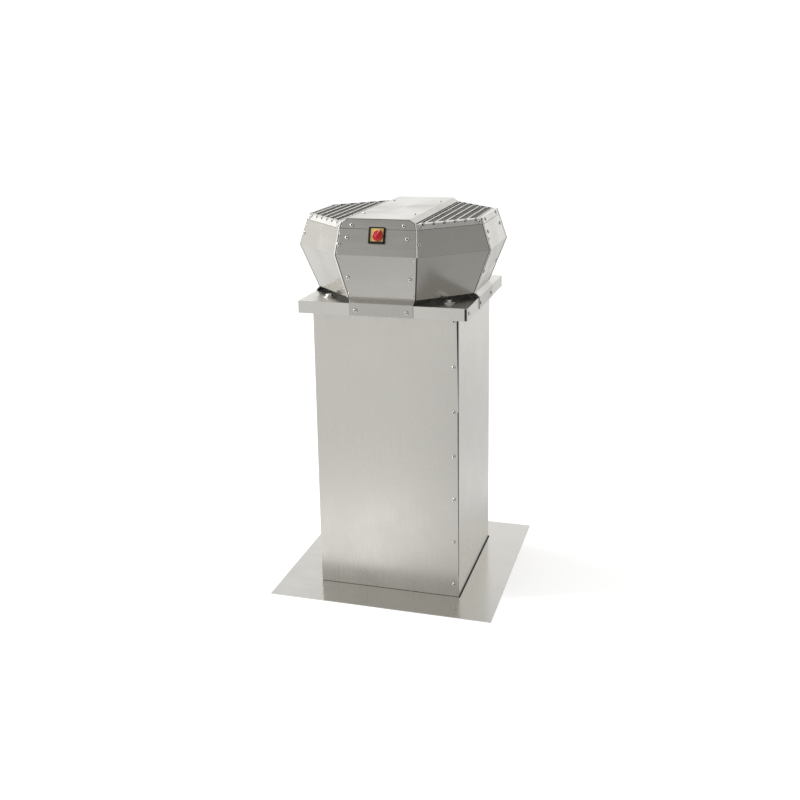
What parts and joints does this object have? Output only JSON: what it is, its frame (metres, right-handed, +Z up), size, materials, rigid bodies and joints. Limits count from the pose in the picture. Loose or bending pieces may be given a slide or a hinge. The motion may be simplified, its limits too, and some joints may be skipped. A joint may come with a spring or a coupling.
{
  "type": "roof exhaust hood fan",
  "caption": "Roof exhaust fan: a faceted steel hood with top gratings and an isolator switch, on a tall square curb with a flat roof flange.",
  "frame": {"origin": "centre of the roof flange's underside, on the roof", "axes": "+Z up along the wheel's axis, -Y towards the side with the isolator switch, +X to the right seen from that side"},
  "size_m": [0.7, 0.7, 1.1788],
  "materials": {
    "hood_steel": "brushed along the panel",
    "grating_steel": "satin",
    "curb_steel": "brushed upright, satin",
    "roof_flange_steel": "satin",
    "base_plate_steel": "satin",
    "galvanised_steel": "galvanised, spangled",
    "foam_rubber": "matte foam",
    "aluminium_sheet": "mill finish",
    "motor_core": "painted",
    "motor_black": "satin black",
    "bright_steel": "ground bright",
    "fastener_steel": "bright",
    "yellow_plastic": "semi-gloss",
    "red_plastic": "gloss",
    "black_plastic": "matte",
    "grey_plastic": "matte",
    "cable_sheath": "matte"
  },
  "bodies": {
    "housing": {"back_left_panel": "hood_steel", "back_panel": "hood_steel", "back_right_panel": "hood_steel", "base_plate": "base_plate_steel", "cable_gland": "black_plastic", "corner_bolt_back_left": "fastener_steel", "corner_bolt_back_right": "fastener_steel", "corner_bolt_front_left": "fastener_steel", "corner_bolt_front_right": "fastener_steel", "corner_washer_back_left": "fastener_steel", "corner_washer_back_right": "fastener_steel", "corner_washer_front_left": "fastener_steel", "corner_washer_front_right": "fastener_steel", "curb_seal": "foam_rubber", "curb_shell_back": "curb_steel", "curb_shell_front": "curb_steel", "curb_top_frame": "galvanised_steel", "front_left_panel": "hood_steel", "front_panel": "hood_steel", "front_right_panel": "hood_steel", "inlet_cone": "aluminium_sheet", "isolator_body": "grey_plastic", "isolator_frame": "black_plastic", "isolator_plate": "yellow_plastic", "left_grating": "grating_steel", "left_panel": "hood_steel", "lower_bearing": "bright_steel", "motor_bridge": "galvanised_steel", "motor_cable": "cable_sheath", "motor_stator": "motor_core", "right_grating": "grating_steel", "right_panel": "hood_steel", "roof_flange": "roof_flange_steel", "tab_screw_back_left": "fastener_steel", "tab_screw_back_right": "fastener_steel", "tab_screw_front_left": "fastener_steel", "tab_screw_front_right": "fastener_steel", "tab_screw_left_left": "fastener_steel", "tab_screw_left_right": "fastener_steel", "tab_screw_right_left": "fastener_steel", "tab_screw_right_right": "fastener_steel", "terminal_box": "grey_plastic", "terminal_box_lid": "grey_plastic", "top_cover": "hood_steel", "upper_bearing": "bright_steel"},
    "impeller": {"impeller_backplate": "aluminium_sheet", "impeller_blade_1": "aluminium_sheet", "impeller_blade_2": "aluminium_sheet", "impeller_blade_3": "aluminium_sheet", "impeller_blade_4": "aluminium_sheet", "impeller_blade_5": "aluminium_sheet", "impeller_blade_6": "aluminium_sheet", "impeller_blade_7": "aluminium_sheet", "impeller_shroud": "aluminium_sheet", "motor_rotor": "motor_black", "motor_shaft": "bright_steel"},
    "isolator_handle": {"isolator_knob": "red_plastic", "isolator_spindle": "bright_steel"}
  },
  "joints": [
    {"name": "impeller_spin", "type": "hinge", "parent": "housing", "child": "impeller", "pos_m": [0, 0, 1.03], "axis": [0, 0, 1], "continuous": true},
    {"name": "isolator_turn", "type": "hinge", "parent": "housing", "child": "isolator_handle", "pos_m": [0.0045, -0.28159, 1.12857], "axis": [0, -0.9539, 0.3001], "range_deg": [0, 90]}
  ]
}
